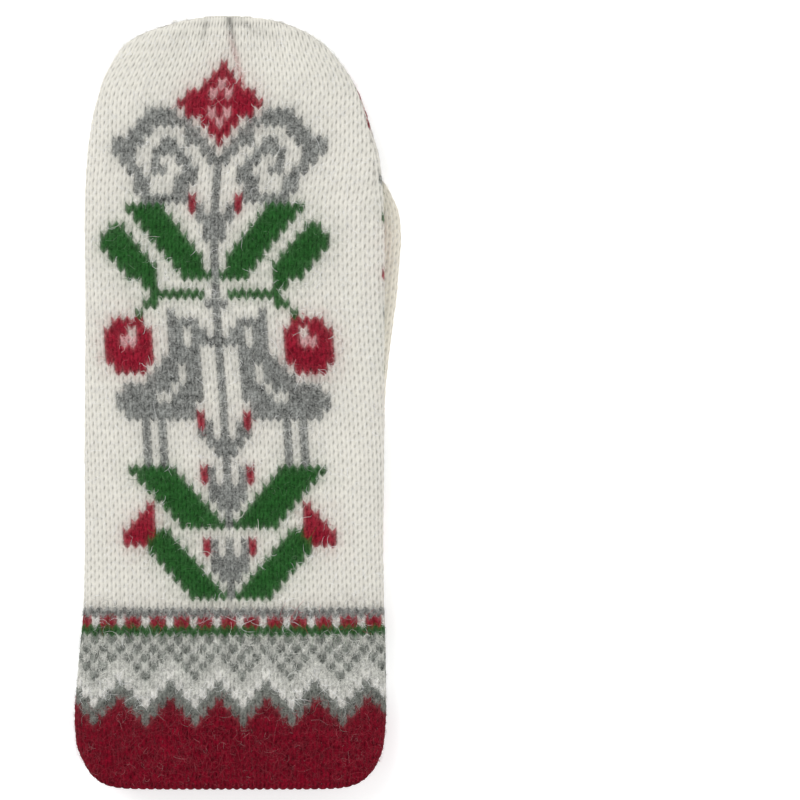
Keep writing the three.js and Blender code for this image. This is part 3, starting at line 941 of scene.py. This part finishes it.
def hole_faces(points, faces, line, near, low, high, upright):
    """Faces of the step where the thumb opens into the palm: at the hole's height, or upright."""
    x, y, z = points[faces].mean(axis=1).T
    in_step = (np.abs(y - line) < near) & (x > HOLE_SIDES[0]) & (x < HOLE_SIDES[1])
    tall = np.ptp(points[faces][..., 2], axis=1) > upright
    return in_step & (tall | ((z > low) & (z < high)))


# The hand's outside. The hole by which the thumb is reached stays open.
in_hole = hole_faces(moved, joined, root_y, **OUTER_HOLE)
hand_mask = keep & in_hand & ~in_hole
used, faces = take(hand_mask)
hand, corners = mesh_piece("hand_knit", moved[used], faces, replaces="hand")
finish_knit(
    hand, corners, stitch[hand_mask], shades[used], near[used], haze[used],
    grid_rows[used], grid_columns[used])
hand.data.materials.append(wool("stranded_wool", 0.68, 0.46))
hand_hair_source = (moved[used], faces, stitch[hand_mask])

# The cuff: outside, a rounded rim, and the inside as one skin.
cuff_mask = keep & ~in_hand
used, cuff_faces = take(cuff_mask)
cuff_points = moved[used]
cuff_shades, cuff_near, cuff_haze = shades[used], near[used], haze[used]
cuff_rows, cuff_columns = grid_rows[used], grid_columns[used]
cuff_stitch = stitch[cuff_mask]
rim_ring = np.searchsorted(used, same[:line_count])

inside_rows = np.concatenate([[rim_edge_row], np.arange(LINING_FIRST, 1)])
inside_at = np.repeat(inside_rows[:, None], line_count, axis=1)
inside = sample(inner_places, fine_rows, inside_at, range(line_count))
rim_out = cuff_points[rim_ring]
rim_in = inside[0]
lip = []
bead = LIP_BEAD * np.cos(2 * np.pi * lines)
for angle in np.linspace(0, np.pi, LIP_STEPS)[1:-1]:
    across = (1 + np.cos(angle)) / 2
    ring = rim_out * across + rim_in * (1 - across)
    ring[:, 1] -= np.sin(angle) * (LIP_REACH + bead)
    lip.append(ring)
sheet = np.concatenate([np.stack(lip), inside])
sheet_count = len(sheet)
start = len(cuff_points)
extra = start + np.arange(sheet_count * line_count).reshape(sheet_count, line_count)
ringed = np.concatenate([rim_ring[None, :], extra])
right = np.roll(ringed, -1, axis=1)
lip_faces = np.stack([ringed[1:], right[1:], right[:-1], ringed[:-1]], axis=-1).reshape(-1, 4)
cuff_points = np.concatenate([cuff_points, sheet.reshape(-1, 3)])
inner_row = np.concatenate([np.full(len(lip) + 1, -ROW_ZERO), inside_rows[1:] - 1])
inner_row = np.repeat(inner_row.astype(int), line_count)
column_of = np.tile((np.arange(line_count) + HALF_COLUMN) // PER_COLUMN % COLUMNS, sheet_count)
lip_stitch = yarns[inner_row + ROW_ZERO, column_of]
sheet_rows = np.repeat(np.concatenate([np.full(len(lip), rim_edge_row), inside_rows]), line_count)
sheet_columns = np.tile(lines + COLUMNS / 2, sheet_count)
cuff, corners = mesh_piece(
    "cuff_knit", cuff_points, np.concatenate([cuff_faces, lip_faces]), replaces="cuff")
# The rim and the cuff's inside carry an even painted shade and a painted glow.
finish_knit(
    cuff, corners, np.concatenate([cuff_stitch, lip_stitch]),
    np.concatenate([cuff_shades, np.full(sheet_count * line_count, LINING_SHADE)]),
    np.concatenate([cuff_near, haze_at(yarns, sheet_rows, sheet_columns, LINING_REACH)]),
    np.concatenate([cuff_haze, haze_at(yarns, sheet_rows, sheet_columns, HAZE_REACH)]),
    np.concatenate([cuff_rows, sheet_rows]), np.concatenate([cuff_columns, sheet_columns]),
    np.concatenate([np.zeros(len(cuff_rows)), smooth(LINING_FIRST, LINING_LIT, sheet_rows)]))
cuff.data.materials.append(wool("band_wool", 0.45, 0.4, glows=True))
cuff_hair_source = (cuff_points[:start], cuff_faces, cuff_stitch)

# The hand's inside, at two steps a stitch.
thin = np.arange(0, line_count, HALF_COLUMN)
liner_rows = np.arange(0, HAND_ROWS * 2 + 1) / 2
liner_at = np.repeat(liner_rows[:, None], len(thin), axis=1)
liner = sample(inner_places, fine_rows, liner_at, thin)
liner_faces = grid_faces(len(liner_rows), len(thin))[:, ::-1]
first, _, inner_joined, inner_keep = weld(liner.reshape(-1, 3), liner_faces)
liner_points = liner.reshape(-1, 3)[first]
inner_keep &= ~hole_faces(liner_points, inner_joined, root_y - WALL, **LINING_HOLE)
j, i = np.meshgrid(np.arange(len(liner_rows) - 1), np.arange(len(thin)), indexing="ij")
liner_stitch = yarns[ROW_ZERO + j // 2, (thin[i] + HALF_COLUMN) // PER_COLUMN % COLUMNS].reshape(-1)
hand_inside, corners = mesh_piece("hand_inside", liner_points, inner_joined[inner_keep])
liner_row_of = np.repeat(liner_rows, len(thin))[first]
liner_column_of = np.tile(lines[thin] + COLUMNS / 2, len(liner_rows))[first]
# The hand's inside carries an even painted shade and a painted glow.
finish_knit(
    hand_inside, corners, liner_stitch[inner_keep], np.full(len(liner_points), LINING_SHADE),
    haze_at(yarns, liner_row_of, liner_column_of, LINING_REACH),
    haze_at(yarns, liner_row_of, liner_column_of, HAZE_REACH), liner_row_of, liner_column_of,
    np.ones(len(liner_points)))
hand_inside.data.materials.append(wool("inside_wool", 0.8, 0.3, glows=True, strand_bump=LINING_BUMP))


def thumb_y(row):
    return THUMB_BASE_Y - GAP + (THUMB_TIP_Y - THUMB_BASE_Y + GAP) * row / THUMB_ROWS


def thumb_axis(y, x):
    return (x[0] + x[-1]) / 2


def even(k):
    """Columns of one width."""
    return k * 1.0


def thumb_least(row):
    return THUMB_PITCH * (1 - 0.25 * smooth(THUMB_ROWS - 2 * TIP_ROWS, THUMB_ROWS, row))


def plain_colours(points):
    """The plain thumb's colour at each point."""
    return np.repeat(YARN_COLOURS[YARN_INDEX["cream"]][None, :], len(points), axis=0)


# The thumb, plain knit, folded flat under the palm.
thumb_fine = layout_rows(0, THUMB_ROWS, 50)
thumb_places = lattice(
    thumb_section, thumb_fine, thumb_y, 0.0, thumb_axis, thumb_least, THUMB_COLUMNS, even)
thumb_lines = np.arange(THUMB_COLUMNS * PER_COLUMN) / PER_COLUMN - THUMB_COLUMNS / 2
thumb_at = np.arange(THUMB_ROWS * PER_ROW + 1) / PER_ROW
thumb_shift = chevron(thumb_lines)[None, :] * smooth(0, 1.5, thumb_at)[:, None]
thumb_rows = np.clip(thumb_at[:, None] + thumb_shift, 0, THUMB_ROWS)
thumb_grid = sample(thumb_places, thumb_fine, thumb_rows, range(len(thumb_lines)))
plain = np.full((THUMB_ROWS, THUMB_COLUMNS), YARN_INDEX["cream"])
moved_t, joined_t, keep_t, shades_t, stitch_t, _, first_t = knit(
    thumb_grid, thumb_at, thumb_lines, plain, 0, THUMB_RELIEF, seed=12)
stitch_t = stitch_t.reshape(-1)
thumb, corners = mesh_piece("thumb_knit", moved_t, joined_t[keep_t], replaces="thumb")
finish_knit(
    thumb, corners, stitch_t[keep_t], shades_t, plain_colours(moved_t), plain_colours(moved_t),
    thumb_rows.reshape(-1)[first_t], np.tile(thumb_lines, len(thumb_at))[first_t])
thumb.data.materials.append(wool("plain_wool", 0.2, 0.34))

# The thumb's inside, and the edge of its wall where it opens into the palm.
tube_rows = np.concatenate([[0.0], np.linspace(0, THUMB_ROWS - TUBE_SHORT, TUBE_STEPS)])
tube_places = lattice(
    thumb_section, tube_rows[1:], thumb_y, WALL, thumb_axis, thumb_least, THUMB_COLUMNS, even)
tube = np.concatenate([thumb_places[:1, ::HALF_COLUMN], tube_places[:, ::HALF_COLUMN]])
tube_faces = grid_faces(*tube.shape[:2])[:, ::-1]
first, _, tube_joined, tube_keep = weld(tube.reshape(-1, 3), tube_faces)
tube_points = tube.reshape(-1, 3)[first]
thumb_inside, corners = mesh_piece("thumb_inside", tube_points, tube_joined[tube_keep])
tube_row_of = np.repeat(np.concatenate([[-1.0], tube_rows[1:]]), tube.shape[1])[first]
tube_column_of = np.tile(thumb_lines[::HALF_COLUMN], len(tube))[first]
# The thumb's inside carries an even painted shade and a painted glow.
finish_knit(
    thumb_inside, corners, np.full(tube_keep.sum(), YARN_INDEX["cream"]),
    np.full(len(tube_points), LINING_SHADE), plain_colours(tube_points), plain_colours(tube_points),
    tube_row_of, tube_column_of, np.ones(len(tube_points)))
thumb_inside.data.materials.append(wool("thumb_lining", 0.2, 0.3, glows=True, strand_bump=LINING_BUMP))

# Stray fibres.
thumb_hair_source = (moved_t, joined_t[keep_t], stitch_t[keep_t])
hairs("hand_fuzz", *hand_hair_source, count=21000, seed=21, slot="hand_wool", reach=2.6)
hairs("cuff_fuzz", *cuff_hair_source, count=18000, seed=22, slot="cuff_wool", reach=3.2)
hairs("thumb_fuzz", *thumb_hair_source, count=4000, seed=23, slot="thumb_wool", reach=1.8)

# The studio: a near-white floor, a large soft light above and a pale surround. From here on, metres.
FLOOR_DROP = 0.0002
FLOOR_WHITE = 0.95
FLOOR_GLOW = 0.36
SURROUND = 0.58
WHITE = (1.0, 1.0, 1.0, 1.0)

floor_mesh = bpy.data.meshes.new("floor")
floor_mesh.from_pydata([(-3, -3, 0), (3, -3, 0), (3, 3, 0), (-3, 3, 0)], [], [(0, 1, 2, 3)])
floor = bpy.data.objects.new("floor", floor_mesh)
floor.location.z = -FLOOR_DROP
bpy.context.scene.collection.objects.link(floor)
floor_shader = Shader("floor_white")
paper = floor_shader.add("ShaderNodeBsdfPrincipled", {
    "Base Color": (FLOOR_WHITE, FLOOR_WHITE, FLOOR_WHITE, 1.0), "Roughness": 0.9,
    "Emission Color": WHITE, "Emission Strength": FLOOR_GLOW,
})
floor_shader.add("ShaderNodeOutputMaterial", {"Surface": paper.outputs[0]})
floor_mesh.materials.append(floor_shader.material)


def soft_light(name, place, size, watts):
    """A square light that faces the mitten's middle."""
    data = bpy.data.lights.new(name, "AREA")
    data.shape = "SQUARE"
    data.size = size
    data.energy = watts
    light = bpy.data.objects.new(name, data)
    light.rotation_euler = (-Vector(place)).to_track_quat("-Z", "Y").to_euler()
    light.location = place
    bpy.context.scene.collection.objects.link(light)


soft_light("key", place=(-0.9, 0.9, 1.5), size=1.2, watts=16)
soft_light("fill", place=(1.0, -0.6, 1.3), size=1.6, watts=8)

world = bpy.data.worlds.new("studio")
world.use_nodes = True
background = world.node_tree.nodes["Background"]
background.inputs["Color"].default_value = WHITE
background.inputs["Strength"].default_value = SURROUND
bpy.context.scene.world = world
bpy.context.scene.view_settings.view_transform = "Standard"
bpy.context.scene.view_settings.look = "None"

# The camera looks straight down, with the mitten in the frame's left half.
CAMERA_PLACE = (0.0567, 0.00035, 1.41)
LENS_MM = 180
SENSOR_MM = 36
camera_data = bpy.data.cameras.new("camera")
camera_data.lens = LENS_MM
camera_data.sensor_width = SENSOR_MM
camera = bpy.data.objects.new("camera", camera_data)
camera.location = CAMERA_PLACE
bpy.context.scene.collection.objects.link(camera)
bpy.context.scene.camera = camera
